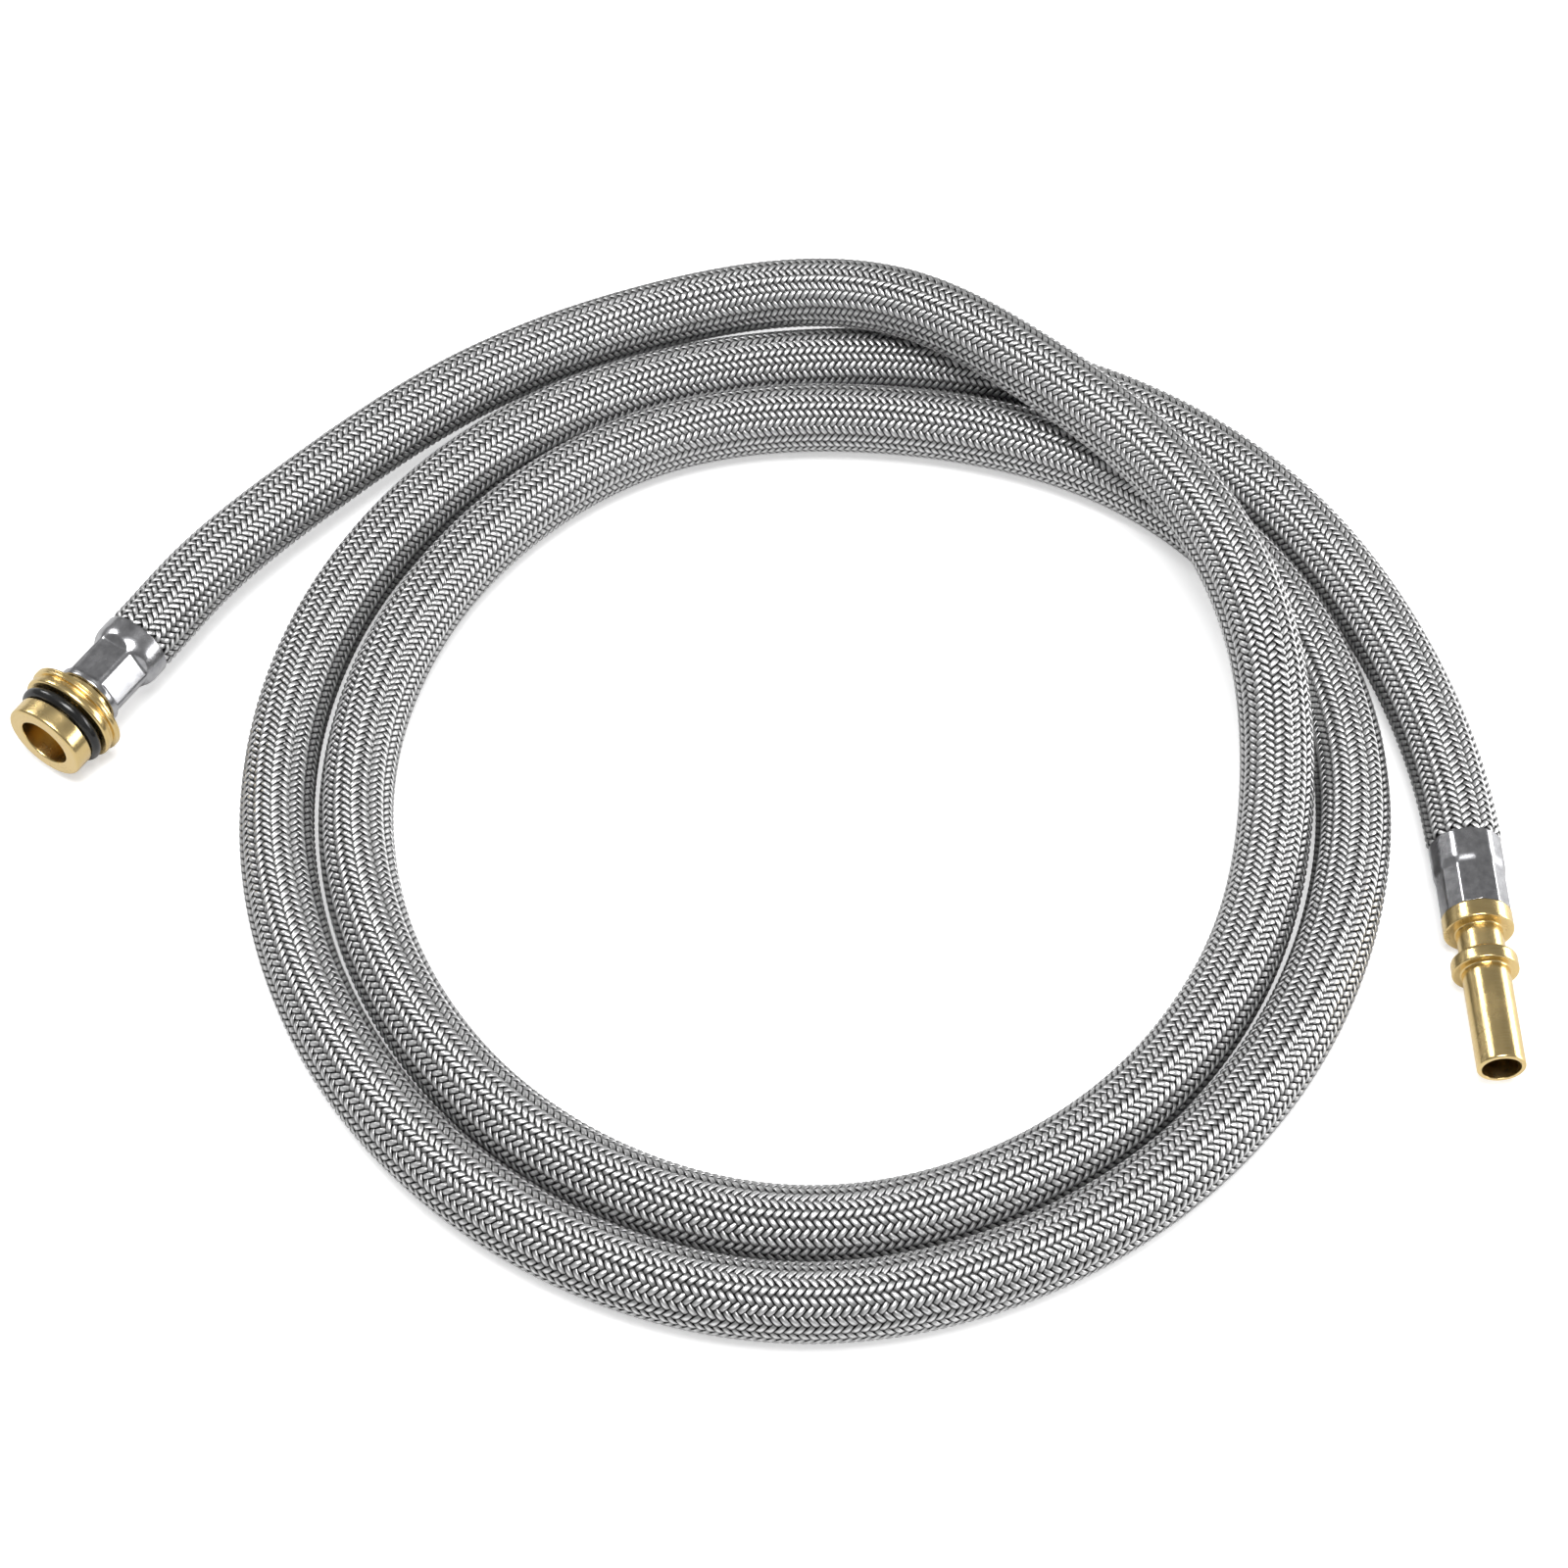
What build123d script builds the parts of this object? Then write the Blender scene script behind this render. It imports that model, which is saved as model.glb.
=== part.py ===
"""Braided supply hose: a rubber liner in a woven sleeve, coiled about two turns on the ground.

One end carries a brass spray connector with an O-ring and a hex-crimped ferrule, the other a plain
brass quick-connect spigot with a facet-crimped ferrule. The coil is one body. Each free lead is cut
into short lengths that meet at ball-shaped knuckles, so that it can sweep sideways and lift.
Millimetres, +Z up, ground at Z = 0, origin under the middle of the bounding box.
"""

from build123d import *
import math
import os

os.makedirs("parts", exist_ok=True)

# ---------------------------------------------------------------- driving dimensions
hose_radius = 6.35
braid_bore_radius = 5.2
liner_radius = 5.15
water_bore_radius = 3.5
lead_height = 9.2  # axis height of the spray lead: its flange rests on the ground
coil_centre = (11.43, -4.77)

# Knuckles of each free lead, measured along the hose from the ferrule's mouth
knuckle_distances = (16.0, 34.0, 52.0, 70.0)
ball_radius = 7.95
socket_radius = 8.05
knuckle_reach = 9.0

# Spray end, lengths measured along its axis from the ferrule's mouth
spray_sleeve_radius = 6.4
spray_sleeve_length = 3.2
spray_shoulder_length = 1.7
spray_neck_across_flats = 10.7
spray_neck_corner_radius = 5.95
spray_neck_length = 8.1
spray_rim_radius = 5.9
spray_ferrule_length = 14.0
hub_radius = 5.4
hub_length = 2.2
flange_radius = 9.1
flange_front_radius = 8.8
flange_recess_radius = 8.4
flange_bead_length = 1.1
flange_recess_length = 0.95
bead_round = 0.35
o_ring_groove_radius = 6.0
o_ring_groove_length = 2.7
o_ring_cord_radius = 1.1
nose_radius = 7.5
nose_length = 3.5
nose_bore_radius = 4.7
nose_bore_depth = 8.0

# Plug end, lengths measured along its axis from the ferrule's mouth
plug_sleeve_radius = 6.15
plug_sleeve_length = 5.2
plug_shoulder_length = 1.2
plug_facet_count = 12
plug_across_flats = 11.5
plug_ferrule_length = 14.1
collar_radius = 5.85
collar_length = 3.1
waist_radius = 3.9
waist_length = 5.2
stop_collar_radius = 5.55
stop_collar_length = 2.6
stop_collar_round = 0.9
spigot_radius = 4.0
spigot_length = 18.1
spigot_bore_radius = 3.2

# Inside both ferrules
ferrule_wall = 0.45
clearance = 0.05
stem_start = 0.6
stem_root_radius = 3.15
barb_radius = 3.46
barb_pitch = 2.4
barb_count = 4
stem_bore_radius = 2.6
lip_length = 1.2
lip_radius = 3.8
lip_neck_radius = 3.7
edge_break = 0.3

# ---------------------------------------------------------------- the hose's centre line
# Each station is a bearing in degrees about the coil's centre, a radius and a height. The hose runs
# clockwise, seen from above, so the bearings fall.
spray_lead = [
    (166.65, 121.87, lead_height),
    (163.5, 119.85, lead_height),
    (159.4, 117.87, lead_height),
    (146, 111.7, lead_height),
    (126, 108.9, 9.3),
    (106, 108.9, 9.9),
]
# It climbs on to the two strands that lie on the ground, crosses them and comes down inside them
crossing = [
    (93, 106.9, 14.0),
    (80, 100.9, 19.0),
    (65, 92.3, 20.0),
    (46, 86.4, 19.8),
    (28, 82.2, 19.2),
    (14, 79.8, 16.3),
    (0, 78.3, 10.1),
    (-15, 77.8, 6.8),
    (-24, 78.1, 6.4),
]
inner_turn = [
    (-34, 78.7, hose_radius),
    (-58, 81.2, hose_radius),
    (-91, 84.3, hose_radius),
    (-130, 81.7, hose_radius),
    (-173, 78.5, hose_radius),
    (-214, 79.1, hose_radius),
    (-250, 82.4, hose_radius),
    (-280, 83.4, hose_radius),
    (-313, 89.3, hose_radius),
    (-345, 91.7, hose_radius),
]
outer_turn = [
    (-375, 91.2, hose_radius),
    (-412, 93.6, hose_radius),
    (-452, 97.6, hose_radius),
    (-492, 94.7, hose_radius),
    (-535, 91.8, hose_radius),
    (-570, 93.1, hose_radius),
    (-600, 95.2, hose_radius),
    (-630, 96.4, hose_radius),
    (-655, 100.6, hose_radius),
]
plug_lead = [
    (-680, 104.0, hose_radius),
    (-705, 105.7, hose_radius),
    (-722, 108.85, hose_radius),
    (-726.73, 110.06, hose_radius),
]


def station_point(bearing, radius, height):
    """A station of the centre line in the part's own axes."""
    angle = math.radians(bearing)
    return (
        coil_centre[0] + radius * math.cos(angle),
        coil_centre[1] + radius * math.sin(angle),
        height,
    )


stations = spray_lead + crossing + inner_turn + outer_turn + plug_lead
with BuildLine() as centre_line:
    Spline(*[station_point(*station) for station in stations])
hose_path = centre_line.edge()
hose_length = hose_path.length

# Along the hose: 0 at the spray ferrule's mouth, hose_length at the plug ferrule's mouth
spray_cuts = list(knuckle_distances)
plug_cuts = [hose_length - distance for distance in knuckle_distances]


def path_point(distance):
    return hose_path @ (distance / hose_length)


def path_direction(distance):
    return hose_path % (distance / hose_length)


up = Vector(0, 0, 1)


def profile_plane(mouth, out):
    """The upright plane through a fitting's axis: X is the radius, Y the distance along the axis."""
    side = up.cross(out)
    return Plane(mouth, x_dir=out.cross(side), z_dir=side)


# Each end fitting has an axis that points out of the hose
spray_mouth = path_point(0)
spray_out = path_direction(0) * -1
spray_axis = Axis(spray_mouth, spray_out)
spray_profile = profile_plane(spray_mouth, spray_out)
plug_mouth = path_point(hose_length)
plug_out = path_direction(hose_length)
plug_axis = Axis(plug_mouth, plug_out)
plug_profile = profile_plane(plug_mouth, plug_out)


def spray_section(distance):
    """The plane across the spray fitting at a distance along its axis."""
    return Plane(spray_mouth + spray_out * distance, x_dir=up, z_dir=spray_out)


def plug_section(distance):
    """The plane across the plug fitting at a distance along its axis."""
    return Plane(plug_mouth + plug_out * distance, x_dir=up, z_dir=plug_out)


def write(piece, label):
    """Name a finished piece and write its STEP file."""
    piece.part.label = label
    export_step(piece.part, f"parts/{label}.step")


# ---------------------------------------------------------------- hose lengths and knuckles
def around_ball(distance, coilward):
    """All that the outboard length gives up at its knuckle: the coil side, but for the ball."""
    centre = path_point(distance)
    with BuildPart() as waste:
        with BuildSketch(Plane(centre, z_dir=path_direction(distance) * coilward)):
            Circle(2 * hose_radius)
        extrude(amount=2 * knuckle_reach)
        with Locations(centre):
            Sphere(ball_radius, mode=Mode.SUBTRACT)
    return waste.part


def hose_run(label, start, end, outer, inner, sockets=(), ball=None, coilward=1, crimp=None):
    """One length of liner or sleeve from start to end along the hose.

    sockets are the knuckles hollowed out of it, ball is the knuckle it carries, coilward is the
    way to the coil there (+1 along the hose, -1 against), and crimp is the squeezed end inside a
    ferrule: its profile plane, its axis and its outline.
    """
    path = hose_path.trim(start / hose_length, end / hose_length)
    with BuildPart() as run:
        with BuildSketch(Plane(path @ 0, z_dir=path % 0)):
            Circle(outer)
            Circle(inner, mode=Mode.SUBTRACT)
        sweep(path=path)
        if crimp:
            profile, axis, outline = crimp
            with BuildSketch(profile):
                with BuildLine():
                    Polyline(*outline, close=True)
                make_face()
            revolve(axis=axis)
        for distance in sockets:
            with Locations(path_point(distance)):
                Sphere(socket_radius, mode=Mode.SUBTRACT)
        if ball is not None:
            add(around_ball(ball, coilward), mode=Mode.SUBTRACT)
    write(run, label)


def tapered(mouth_radius, neck_radius, cone_start, cone_end, lead):
    """A surface that a ferrule squeezes from its mouth to its neck, as (radius, distance) points.

    lead is how much earlier than the ferrule's own bore it tapers, so that layers never touch.
    """
    return [(mouth_radius, 0), (mouth_radius, cone_start - lead), (neck_radius, cone_end - lead)]


layers = {
    "braid": (hose_radius, braid_bore_radius),
    "liner": (liner_radius, water_bore_radius),
}
hose_end_gap = lip_length + 2 * clearance
spray_neck_first = spray_sleeve_length + spray_shoulder_length
spray_neck_bore = spray_neck_across_flats / 2 - ferrule_wall
plug_neck_first = plug_sleeve_length + plug_shoulder_length
plug_neck_bore = plug_across_flats / 2 - ferrule_wall


def squeezed_layers(sleeve_radius, neck_bore, cone_start, cone_end, hose_end):
    """Outlines of sleeve and liner where a ferrule squeezes them on to the stem."""
    sleeve_bore = sleeve_radius - ferrule_wall
    boundary = (neck_bore + water_bore_radius) / 2
    cone = (cone_start, cone_end)
    braid_outside = tapered(sleeve_bore - clearance, neck_bore - clearance, *cone, 2 * clearance)
    braid_inside = tapered(braid_bore_radius, boundary + clearance / 2, *cone, 2 * clearance)
    liner_outside = tapered(liner_radius, boundary - clearance / 2, *cone, 4 * clearance)
    liner_inside = [(water_bore_radius, 0)]
    outlines = {}
    for layer, outside, inside in (
        ("braid", braid_outside, braid_inside),
        ("liner", liner_outside, liner_inside),
    ):
        ends = [(outside[-1][0], hose_end), (inside[-1][0], hose_end)]
        outlines[layer] = outside + ends + inside[::-1]
    return outlines


spray_hose_end = spray_ferrule_length - hose_end_gap
plug_hose_end = plug_ferrule_length - hose_end_gap
spray_crimp = squeezed_layers(
    spray_sleeve_radius, spray_neck_bore, spray_sleeve_length, spray_neck_first, spray_hose_end
)
plug_crimp = squeezed_layers(
    plug_sleeve_radius, plug_neck_bore, plug_sleeve_length, plug_neck_first, plug_hose_end
)

for layer, (outer, inner) in layers.items():
    hose_run(
        f"coil_{layer}",
        spray_cuts[-1],
        plug_cuts[-1],
        outer,
        inner,
        sockets=(spray_cuts[-1], plug_cuts[-1]),
    )
    # Lead lengths are numbered outwards from the coil
    for number in (1, 2, 3):
        near, far = spray_cuts[-number], spray_cuts[-number - 1]
        hose_run(
            f"spray_lead_{number}_{layer}",
            far,
            near + knuckle_reach,
            outer,
            inner,
            sockets=(far,),
            ball=near,
            coilward=1,
        )
        near, far = plug_cuts[-number], plug_cuts[-number - 1]
        hose_run(
            f"plug_lead_{number}_{layer}",
            near - knuckle_reach,
            far,
            outer,
            inner,
            sockets=(far,),
            ball=near,
            coilward=-1,
        )
    hose_run(
        f"spray_end_{layer}",
        0,
        spray_cuts[0] + knuckle_reach,
        outer,
        inner,
        ball=spray_cuts[0],
        coilward=1,
        crimp=(spray_profile, spray_axis, spray_crimp[layer]),
    )
    hose_run(
        f"plug_end_{layer}",
        plug_cuts[0] - knuckle_reach,
        hose_length,
        outer,
        inner,
        ball=plug_cuts[0],
        coilward=-1,
        crimp=(plug_profile, plug_axis, plug_crimp[layer]),
    )


def barbed_stem():
    """Outline of the stem's outside, from its inner end to the last barb."""
    points = [(stem_bore_radius, stem_start), (stem_root_radius, stem_start)]
    for number in range(barb_count):
        crest = stem_start + (number + 1) * barb_pitch
        points += [(barb_radius, crest), (stem_root_radius, crest)]
    return points


# ---------------------------------------------------------------- spray ferrule
# What the hex crimp leaves: round over the sleeve, six flats over the neck, round at the rim
spray_neck_last = spray_neck_first + spray_neck_length
with BuildPart() as hex_crimp:
    with BuildSketch(spray_section(0)):
        Circle(flange_radius)
    extrude(amount=spray_sleeve_length)
    with BuildSketch(spray_section(spray_sleeve_length)):
        RegularPolygon(spray_sleeve_radius + clearance, 6, major_radius=False)
    with BuildSketch(spray_section(spray_neck_first)):
        RegularPolygon(spray_neck_across_flats / 2, 6, major_radius=False)
    loft()
    with BuildSketch(spray_section(spray_neck_first)):
        RegularPolygon(spray_neck_across_flats / 2, 6, major_radius=False)
    extrude(amount=spray_neck_length)
    with BuildSketch(spray_section(spray_neck_last)):
        Circle(flange_radius)
    extrude(amount=spray_ferrule_length - spray_neck_last)

with BuildPart() as spray_ferrule:
    with BuildSketch(spray_profile):
        with BuildLine():
            Polyline(
                (spray_sleeve_radius - ferrule_wall, clearance),
                (spray_sleeve_radius, clearance),
                (spray_sleeve_radius, spray_sleeve_length),
                (spray_neck_corner_radius, spray_neck_first),
                (spray_neck_corner_radius, spray_neck_last),
                (spray_rim_radius, spray_ferrule_length),
                (lip_radius, spray_ferrule_length),
                (lip_radius, spray_ferrule_length - lip_length),
                (spray_neck_bore, spray_ferrule_length - lip_length),
                (spray_neck_bore, spray_neck_first),
                (spray_sleeve_radius - ferrule_wall, spray_sleeve_length),
                close=True,
            )
        make_face()
    revolve(axis=spray_axis)
    add(hex_crimp.part, mode=Mode.INTERSECT)
write(spray_ferrule, "spray_ferrule")

# ---------------------------------------------------------------- spray connector and O-ring
hub_start = spray_ferrule_length + clearance
flange_start = hub_start + hub_length
recess_start = flange_start + flange_bead_length
recess_end = recess_start + flange_recess_length
flange_end = recess_end + flange_bead_length
groove_end = flange_end + o_ring_groove_length
nose_end = groove_end + nose_length
with BuildPart() as spray_connector:
    with BuildSketch(spray_profile):
        with BuildLine():
            Polyline(
                *barbed_stem(),
                (stem_root_radius, spray_hose_end + clearance),
                (lip_neck_radius, spray_hose_end + clearance),
                (lip_neck_radius, hub_start),
                (hub_radius, hub_start),
                (hub_radius, flange_start),
                (flange_radius, flange_start),
                (flange_radius, recess_start),
                (flange_recess_radius, recess_start),
                (flange_recess_radius, recess_end),
                (flange_front_radius, recess_end),
                (flange_front_radius, flange_end),
                (o_ring_groove_radius, flange_end),
                (o_ring_groove_radius, groove_end),
                (nose_radius, groove_end),
                (nose_radius, nose_end),
                (nose_bore_radius, nose_end),
                (nose_bore_radius, nose_end - nose_bore_depth),
                (stem_bore_radius, nose_end - nose_bore_depth - hub_length),
                close=True,
            )
        make_face()
    revolve(axis=spray_axis)
    rims = spray_connector.edges().filter_by(GeomType.CIRCLE)
    bead_rims = rims.filter_by(lambda edge: edge.radius > flange_recess_radius + clearance)
    fillet(bead_rims, bead_round)
    nose_front = spray_connector.edges().filter_by(GeomType.CIRCLE).group_by(spray_axis)[-1]
    chamfer(nose_front, edge_break)
write(spray_connector, "spray_connector")

o_ring_middle = flange_end + o_ring_groove_length / 2
o_ring_radius = o_ring_groove_radius + o_ring_cord_radius + clearance / 2
with BuildPart() as spray_o_ring:
    with BuildSketch(spray_profile):
        with Locations((o_ring_radius, o_ring_middle)):
            Circle(o_ring_cord_radius)
    revolve(axis=spray_axis)
write(spray_o_ring, "spray_o_ring")

# ---------------------------------------------------------------- plug ferrule
with BuildPart() as facet_crimp:
    with BuildSketch(plug_section(0)):
        Circle(flange_radius)
    extrude(amount=plug_sleeve_length)
    with BuildSketch(plug_section(plug_sleeve_length)):
        RegularPolygon(plug_sleeve_radius + clearance, plug_facet_count, major_radius=False)
    with BuildSketch(plug_section(plug_neck_first)):
        RegularPolygon(plug_across_flats / 2, plug_facet_count, major_radius=False)
    loft()
    with BuildSketch(plug_section(plug_neck_first)):
        RegularPolygon(plug_across_flats / 2, plug_facet_count, major_radius=False)
    extrude(amount=plug_ferrule_length - plug_neck_first)

with BuildPart() as plug_ferrule:
    with BuildSketch(plug_profile):
        with BuildLine():
            Polyline(
                (plug_sleeve_radius - ferrule_wall, clearance),
                (plug_sleeve_radius, clearance),
                (plug_sleeve_radius, plug_ferrule_length),
                (lip_radius, plug_ferrule_length),
                (lip_radius, plug_ferrule_length - lip_length),
                (plug_neck_bore, plug_ferrule_length - lip_length),
                (plug_neck_bore, plug_neck_first),
                (plug_sleeve_radius - ferrule_wall, plug_sleeve_length),
                close=True,
            )
        make_face()
    revolve(axis=plug_axis)
    add(facet_crimp.part, mode=Mode.INTERSECT)
write(plug_ferrule, "plug_ferrule")

# ---------------------------------------------------------------- plug spigot
collar_start = plug_ferrule_length + clearance
collar_end = collar_start + collar_length
waist_end = collar_end + waist_length
stop_end = waist_end + stop_collar_length
spigot_end = stop_end + spigot_length
with BuildPart() as plug_spigot:
    with BuildSketch(plug_profile):
        with BuildLine():
            Polyline(
                *barbed_stem(),
                (stem_root_radius, plug_hose_end + clearance),
                (lip_neck_radius, plug_hose_end + clearance),
                (lip_neck_radius, collar_start),
                (collar_radius, collar_start),
                (collar_radius, collar_end),
                (waist_radius, collar_end),
                (waist_radius, waist_end),
                (stop_collar_radius, waist_end),
                (stop_collar_radius, stop_end),
                (spigot_radius, stop_end),
                (spigot_radius, spigot_end),
                (spigot_bore_radius, spigot_end),
                (spigot_bore_radius, collar_end),
                (stem_bore_radius, collar_start),
                close=True,
            )
        make_face()
    revolve(axis=plug_axis)
    rims = plug_spigot.edges().filter_by(GeomType.CIRCLE)
    stop_rims = rims.filter_by(lambda edge: abs(edge.radius - stop_collar_radius) < clearance)
    fillet(stop_rims.sort_by(plug_axis)[0], stop_collar_round)
    collar_rims = rims.filter_by(lambda edge: abs(edge.radius - collar_radius) < clearance)
    fillet(collar_rims.sort_by(plug_axis)[-1], edge_break)
    tip = plug_spigot.edges().filter_by(GeomType.CIRCLE).group_by(plug_axis)[-1]
    chamfer(tip.sort_by(SortBy.RADIUS)[-1], edge_break)
write(plug_spigot, "plug_spigot")
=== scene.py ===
"""Looks of the braided supply hose: woven sleeve, crimped ferrules, brass fittings and O-ring.

Sizes are millimetres in the model's own axes until mesh_piece() turns them into metres. Distances
along the hose run from 0 at the spray ferrule's mouth to hose_length at the plug ferrule's mouth.
"""

import math

import bpy
import numpy as np
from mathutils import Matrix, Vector


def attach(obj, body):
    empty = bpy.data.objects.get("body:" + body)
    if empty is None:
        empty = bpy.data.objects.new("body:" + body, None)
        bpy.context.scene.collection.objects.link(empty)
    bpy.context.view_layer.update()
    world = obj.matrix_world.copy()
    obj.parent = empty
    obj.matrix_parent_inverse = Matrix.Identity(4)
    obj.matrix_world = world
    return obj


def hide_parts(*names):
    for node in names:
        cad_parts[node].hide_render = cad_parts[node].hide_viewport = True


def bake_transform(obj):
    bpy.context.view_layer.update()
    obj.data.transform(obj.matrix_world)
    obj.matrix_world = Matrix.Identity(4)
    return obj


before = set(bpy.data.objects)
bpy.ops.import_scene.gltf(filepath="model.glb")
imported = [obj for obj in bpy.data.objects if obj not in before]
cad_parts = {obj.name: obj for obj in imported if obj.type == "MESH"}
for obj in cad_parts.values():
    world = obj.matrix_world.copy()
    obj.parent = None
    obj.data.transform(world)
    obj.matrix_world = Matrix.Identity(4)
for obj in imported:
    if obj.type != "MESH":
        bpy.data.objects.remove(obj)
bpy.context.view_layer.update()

MM = 0.001

# ---------------------------------------------------------------- hose and knuckles
hose_radius = 6.35
liner_radius = 5.15
water_bore_radius = 3.5
lead_height = 9.2
coil_centre = (11.43, -4.77)
knuckle_distances = (16.0, 34.0, 52.0, 70.0)
knuckle_span = 9.0  # how far to each side of a knuckle its piece of hose reaches

# Stations of the centre line: bearing in degrees about the coil's centre, radius, height
stations = [
    (166.65, 121.87, lead_height),
    (163.5, 119.85, lead_height),
    (159.4, 117.87, lead_height),
    (146, 111.7, lead_height),
    (126, 108.9, 9.3),
    (106, 108.9, 9.9),
    (93, 106.9, 14.0),
    (80, 100.9, 19.0),
    (65, 92.3, 20.0),
    (46, 86.4, 19.8),
    (28, 82.2, 19.2),
    (14, 79.8, 16.3),
    (0, 78.3, 10.1),
    (-15, 77.8, 6.8),
    (-24, 78.1, 6.4),
    (-34, 78.7, hose_radius),
    (-58, 81.2, hose_radius),
    (-91, 84.3, hose_radius),
    (-130, 81.7, hose_radius),
    (-173, 78.5, hose_radius),
    (-214, 79.1, hose_radius),
    (-250, 82.4, hose_radius),
    (-280, 83.4, hose_radius),
    (-313, 89.3, hose_radius),
    (-345, 91.7, hose_radius),
    (-375, 91.2, hose_radius),
    (-412, 93.6, hose_radius),
    (-452, 97.6, hose_radius),
    (-492, 94.7, hose_radius),
    (-535, 91.8, hose_radius),
    (-570, 93.1, hose_radius),
    (-600, 95.2, hose_radius),
    (-630, 96.4, hose_radius),
    (-655, 100.6, hose_radius),
    (-680, 104.0, hose_radius),
    (-705, 105.7, hose_radius),
    (-722, 108.85, hose_radius),
    (-726.73, 110.06, hose_radius),
]
samples_per_span = 160
overrun = 12.0  # straight length added at each end, where the hose runs on into its ferrule
direction_reach = 0.2  # to each side of a point, where the hose's direction is taken


def station_points():
    """The stations as points in space."""
    bearing, radius, height = np.array(stations, float).T
    angle = np.radians(bearing)
    x = coil_centre[0] + radius * np.cos(angle)
    y = coil_centre[1] + radius * np.sin(angle)
    return np.stack([x, y, height], axis=1)


def end_slope(at, points):
    """Slope, at the first of four stations, of the cubic through them."""
    return np.array([np.polyder(np.poly1d(np.polyfit(at, p, 3)))(at[0]) for p in points.T])


def smooth_curve(points):
    """Dense points on the cubic spline through the stations, its curvature continuous."""
    gap = np.linalg.norm(np.diff(points, axis=0), axis=1)
    at = np.concatenate([[0], np.cumsum(gap)])
    rise = np.diff(points, axis=0) / gap[:, None]
    count = len(points)
    matrix = np.zeros((count, count))
    wanted = np.zeros((count, 3))
    matrix[0, 0] = matrix[-1, -1] = 1
    wanted[0] = end_slope(at[:4], points[:4])
    wanted[-1] = end_slope(at[:-5:-1], points[:-5:-1])
    for i in range(1, count - 1):
        matrix[i, i - 1 : i + 2] = gap[i], 2 * (gap[i - 1] + gap[i]), gap[i - 1]
        wanted[i] = 3 * (gap[i] * rise[i - 1] + gap[i - 1] * rise[i])
    slope = np.linalg.solve(matrix, wanted)
    share = np.linspace(0, 1, samples_per_span, endpoint=False)[:, None]
    spans = []
    for i in range(count - 1):
        stay = (1 + 2 * share) * (1 - share) ** 2
        leave = share * (1 - share) ** 2 * gap[i]
        reach = share**2 * (3 - 2 * share)
        arrive = share**2 * (share - 1) * gap[i]
        spans.append(
            stay * points[i] + leave * slope[i] + reach * points[i + 1] + arrive * slope[i + 1]
        )
    return np.concatenate(spans + [points[-1:]])


def unit(vectors):
    return vectors / np.linalg.norm(vectors, axis=-1, keepdims=True)


up = np.array([0.0, 0.0, 1.0])
curve = smooth_curve(station_points())
curve_distance = np.concatenate([[0], np.cumsum(np.linalg.norm(np.diff(curve, axis=0), axis=1))])
hose_length = curve_distance[-1]
spray_mouth, plug_mouth = curve[0], curve[-1]
spray_out = unit(curve[0] - curve[1])
plug_out = unit(curve[-1] - curve[-2])
curve = np.concatenate(
    [[spray_mouth + spray_out * overrun], curve, [plug_mouth + plug_out * overrun]]
)
curve_distance = np.concatenate([[-overrun], curve_distance, [hose_length + overrun]])


def on_line(distance):
    """Points of the centre line."""
    return np.stack([np.interp(distance, curve_distance, axis) for axis in curve.T], axis=-1)


def hose_frames(distance):
    """Centre, direction, up and side at distances along the hose."""
    centre = on_line(distance)
    along = unit(on_line(distance + direction_reach) - on_line(distance - direction_reach))
    above = unit(up - along * (along @ up)[:, None])
    return centre, along, above, np.cross(along, above)


# ---------------------------------------------------------------- meshes
def mesh_piece(name, points, quads, bake_uv, own_uv=None):
    """A smooth-shaded mesh from points in millimetres, quads and per-corner UVs."""
    mesh = bpy.data.meshes.new(name)
    mesh.vertices.add(len(points))
    mesh.vertices.foreach_set("co", (points * MM).astype(np.float32).ravel())
    mesh.loops.add(quads.size)
    mesh.loops.foreach_set("vertex_index", quads.astype(np.int32).ravel())
    mesh.polygons.add(len(quads))
    mesh.polygons.foreach_set("loop_start", np.arange(0, quads.size, 4, dtype=np.int32))
    mesh.update(calc_edges=True)
    for layer, values in (("OFBake", bake_uv), ("Surface", own_uv)):
        if values is not None:
            mesh.uv_layers.new(name=layer)
            mesh.uv_layers[layer].data.foreach_set("uv", values.astype(np.float32).ravel())
    mesh.validate()
    piece = bpy.data.objects.new(name, mesh)
    bpy.context.scene.collection.objects.link(piece)
    return piece


def wrapped_grid(rows, columns):
    """Quads and corner places of a grid whose columns close on themselves."""
    row, column = np.meshgrid(np.arange(rows - 1), np.arange(columns), indexing="ij")
    corner_row = np.stack([row, row + 1, row + 1, row], axis=-1).reshape(-1, 4)
    corner_column = np.stack([column, column, column + 1, column + 1], axis=-1).reshape(-1, 4)
    quads = corner_row * columns + corner_column % columns
    return quads, corner_row, corner_column


# ---------------------------------------------------------------- woven sleeve
carriers = 24  # yarns wound each way
yarn_pitch = 1.36  # along the hose, between neighbouring yarns wound the same way
crossing_angle = math.tau / (2 * carriers)
steps_per_crossing = 2
yarn_step = yarn_pitch / 2 / steps_per_crossing
crossings_per_wave = 4  # over two, under two
yarn_half_width = 0.52
yarn_half_height = 0.23
yarn_wave = 0.30
yarn_middle_radius = hose_radius - yarn_wave - yarn_half_height
# A yarn's section, as shares of its half width and half height: a flat crown over a shallow keel
yarn_section = [(-1, 0), (-0.55, 1), (0.55, 1), (1, 0), (0, -1)]
yarn_corners = len(yarn_section)
braid_piece_length = 135.0
crimp_depth = 0.55  # how far a ferrule presses the sleeve in
crimp_lead = 1.6  # the length of sleeve in front of the ferrule over which it narrows
yarn_offset = 17.3  # shifts the look of each yarn along from its neighbour's
yarn_map_share = 0.8  # how much of its strip of the map each yarn fills


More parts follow.
